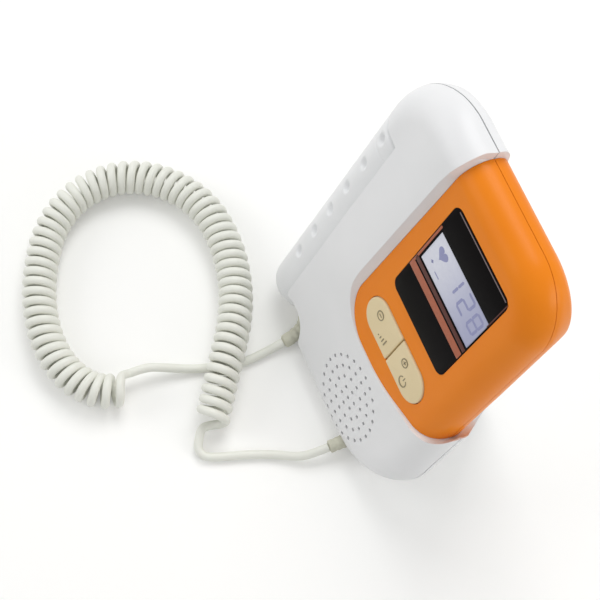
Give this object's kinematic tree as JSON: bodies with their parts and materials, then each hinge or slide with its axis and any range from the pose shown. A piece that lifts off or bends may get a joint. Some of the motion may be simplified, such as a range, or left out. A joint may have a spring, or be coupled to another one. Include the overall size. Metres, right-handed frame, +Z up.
{
  "type": "fetal doppler monitor",
  "caption": "Hand-held fetal doppler leaning on its flat base, with a display, keys and a speaker in front, a battery door behind, and a dimpled probe docked at its side on a curly cord.",
  "frame": {"origin": "centre of the footprint of the case, at the height of the table that its feet stand on; the cord and the pieces on it do not count", "axes": "+Z up, -Y the way the display faces, +X to the right of a user who faces the display; the front face leans back by 24 degrees"},
  "size_m": [0.148, 0.1433, 0.1189],
  "materials": {
    "white_shell": "satin",
    "orange_cover": "satin",
    "black_label": "glossy",
    "window": "clear",
    "display_glass": "clear",
    "display_frame": "matt",
    "circuit_board": "satin",
    "cream_key": "satin",
    "key_mat": "matt",
    "speaker": "matt",
    "tray": "matt",
    "cell": "satin",
    "contact": "bright",
    "probe_white": "satin",
    "probe_lens": "matt",
    "ceramic": "matt",
    "cord_white": "satin",
    "boot_grey": "matt",
    "plug_metal": "bright",
    "foot_rubber": "matt",
    "screw_steel": "bright"
  },
  "bodies": {
    "case": {"front_shell": "white_shell", "rear_shell": "white_shell", "front_cover": "orange_cover", "rear_cover": "orange_cover", "label_plate": "black_label", "display_window": "window", "display_glass": "display_glass", "display_frame": "display_frame", "main_board": "circuit_board", "key_mat": "key_mat", "speaker": "speaker", "battery_tray": "tray", "cell_1": "cell", "cell_2": "cell", "battery_contact_top": "contact", "battery_contact_low": "contact", "jack_socket": "display_frame", "plug_boot": "boot_grey", "plug": "plug_metal", "rubber_foot_1": "foot_rubber", "rubber_foot_2": "foot_rubber", "rubber_foot_3": "foot_rubber", "rubber_foot_4": "foot_rubber", "case_screw_1": "screw_steel", "case_screw_2": "screw_steel", "case_screw_3": "screw_steel", "lead_cord": "cord_white", "coil_cord": "cord_white", "tail_cord": "cord_white"},
    "key_left": {"button_left": "cream_key"},
    "key_right": {"button_right": "cream_key"},
    "door": {"battery_door": "white_shell"},
    "probe": {"probe_shell": "probe_white", "probe_lens": "probe_lens", "probe_crystal": "ceramic", "probe_backing": "ceramic", "probe_boot": "boot_grey"}
  },
  "joints": [
    {"name": "button_left_press", "type": "slide", "parent": "case", "child": "key_left", "axis": [0, 0.9139, -0.4059], "range_m": [0, 0.0008], "stiffness_N_per_m": 2000},
    {"name": "button_right_press", "type": "slide", "parent": "case", "child": "key_right", "axis": [0, 0.9139, -0.4059], "range_m": [0, 0.0008], "stiffness_N_per_m": 2000},
    {"name": "battery_door_slide", "type": "slide", "parent": "case", "child": "door", "axis": [0, -0.095, -0.9955], "range_m": [0, 0.008]},
    {"name": "probe_undock", "type": "slide", "parent": "case", "child": "probe", "axis": [-1, 0, 0], "range_m": [0, 0.016]}
  ]
}
